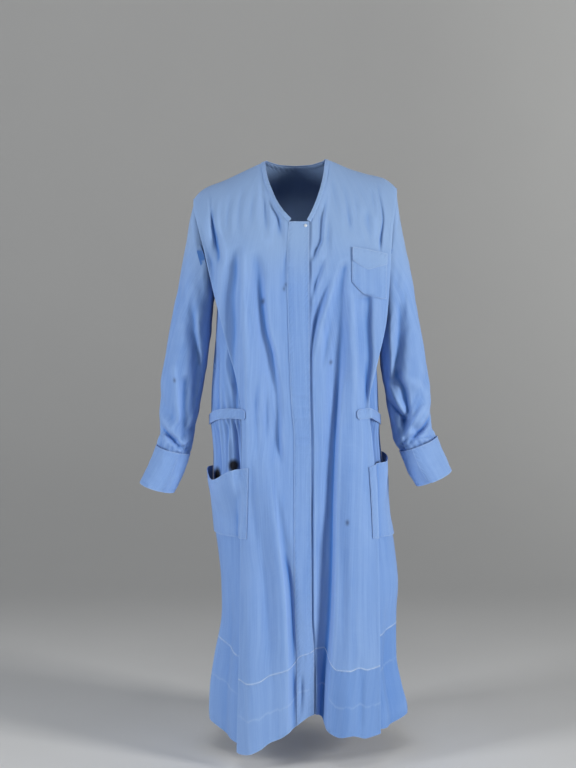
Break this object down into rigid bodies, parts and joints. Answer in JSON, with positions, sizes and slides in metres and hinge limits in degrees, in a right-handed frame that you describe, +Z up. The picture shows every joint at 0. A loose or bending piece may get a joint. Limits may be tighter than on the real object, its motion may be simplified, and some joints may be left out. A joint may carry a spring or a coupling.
{
  "type": "nurse uniform dress",
  "caption": "Long plain cotton uniform dress with a V neck, covered centre front, long cuffed sleeves, gathered side skirts under a half belt, and patch pockets.",
  "frame": {"origin": "middle of the neck opening at the height of the neck points, where the shoulders that wear it hold it up", "axes": "+Z up along the length of the dress, -Y out of its front, +X towards the wearer's left"},
  "size_m": [0.6278, 0.375, 1.1702],
  "materials": {
    "cotton_right_front": "plain weave cotton, washed and slightly faded",
    "cotton_left_front": "plain weave cotton, washed and slightly faded",
    "cotton_placket": "plain weave cotton, washed and slightly faded",
    "cotton_side_bodice_right": "plain weave cotton, washed and slightly faded",
    "cotton_side_bodice_left": "plain weave cotton, washed and slightly faded",
    "cotton_back_bodice": "plain weave cotton, washed and slightly faded",
    "cotton_side_skirt_right": "plain weave cotton, washed and slightly faded",
    "cotton_side_skirt_left": "plain weave cotton, washed and slightly faded",
    "cotton_back_skirt": "plain weave cotton, washed and slightly faded",
    "cotton_sleeve_right": "plain weave cotton, washed and slightly faded",
    "cotton_sleeve_left": "plain weave cotton, washed and slightly faded",
    "cotton_cuff_right": "plain weave cotton, washed and slightly faded",
    "cotton_cuff_left": "plain weave cotton, washed and slightly faded",
    "cotton_belt": "plain weave cotton, washed and slightly faded",
    "cotton_hip_pocket_right": "plain weave cotton, washed and slightly faded",
    "cotton_hip_pocket_left": "plain weave cotton, washed and slightly faded",
    "cotton_breast_pocket": "plain weave cotton, washed and slightly faded",
    "cotton_breast_flap": "plain weave cotton, washed and slightly faded",
    "cotton_binding": "plain weave cotton, washed and slightly faded",
    "button": "dull, worn",
    "stud": "smooth"
  },
  "bodies": {
    "root": {"front_right": "cotton_right_front", "front_left": "cotton_left_front", "fly_placket": "cotton_placket", "side_bodice_right": "cotton_side_bodice_right", "side_bodice_left": "cotton_side_bodice_left", "back_bodice": "cotton_back_bodice", "side_skirt_right": "cotton_side_skirt_right", "side_skirt_left": "cotton_side_skirt_left", "back_skirt": "cotton_back_skirt", "sleeve_right": "cotton_sleeve_right", "sleeve_left": "cotton_sleeve_left", "cuff_right": "cotton_cuff_right", "cuff_left": "cotton_cuff_left", "half_belt": "cotton_belt", "hip_pocket_right": "cotton_hip_pocket_right", "hip_pocket_left": "cotton_hip_pocket_left", "breast_pocket": "cotton_breast_pocket", "breast_flap": "cotton_breast_flap", "neck_binding": "cotton_binding", "belt_button": "button", "neck_stud": "stud"}
  },
  "joints": []
}
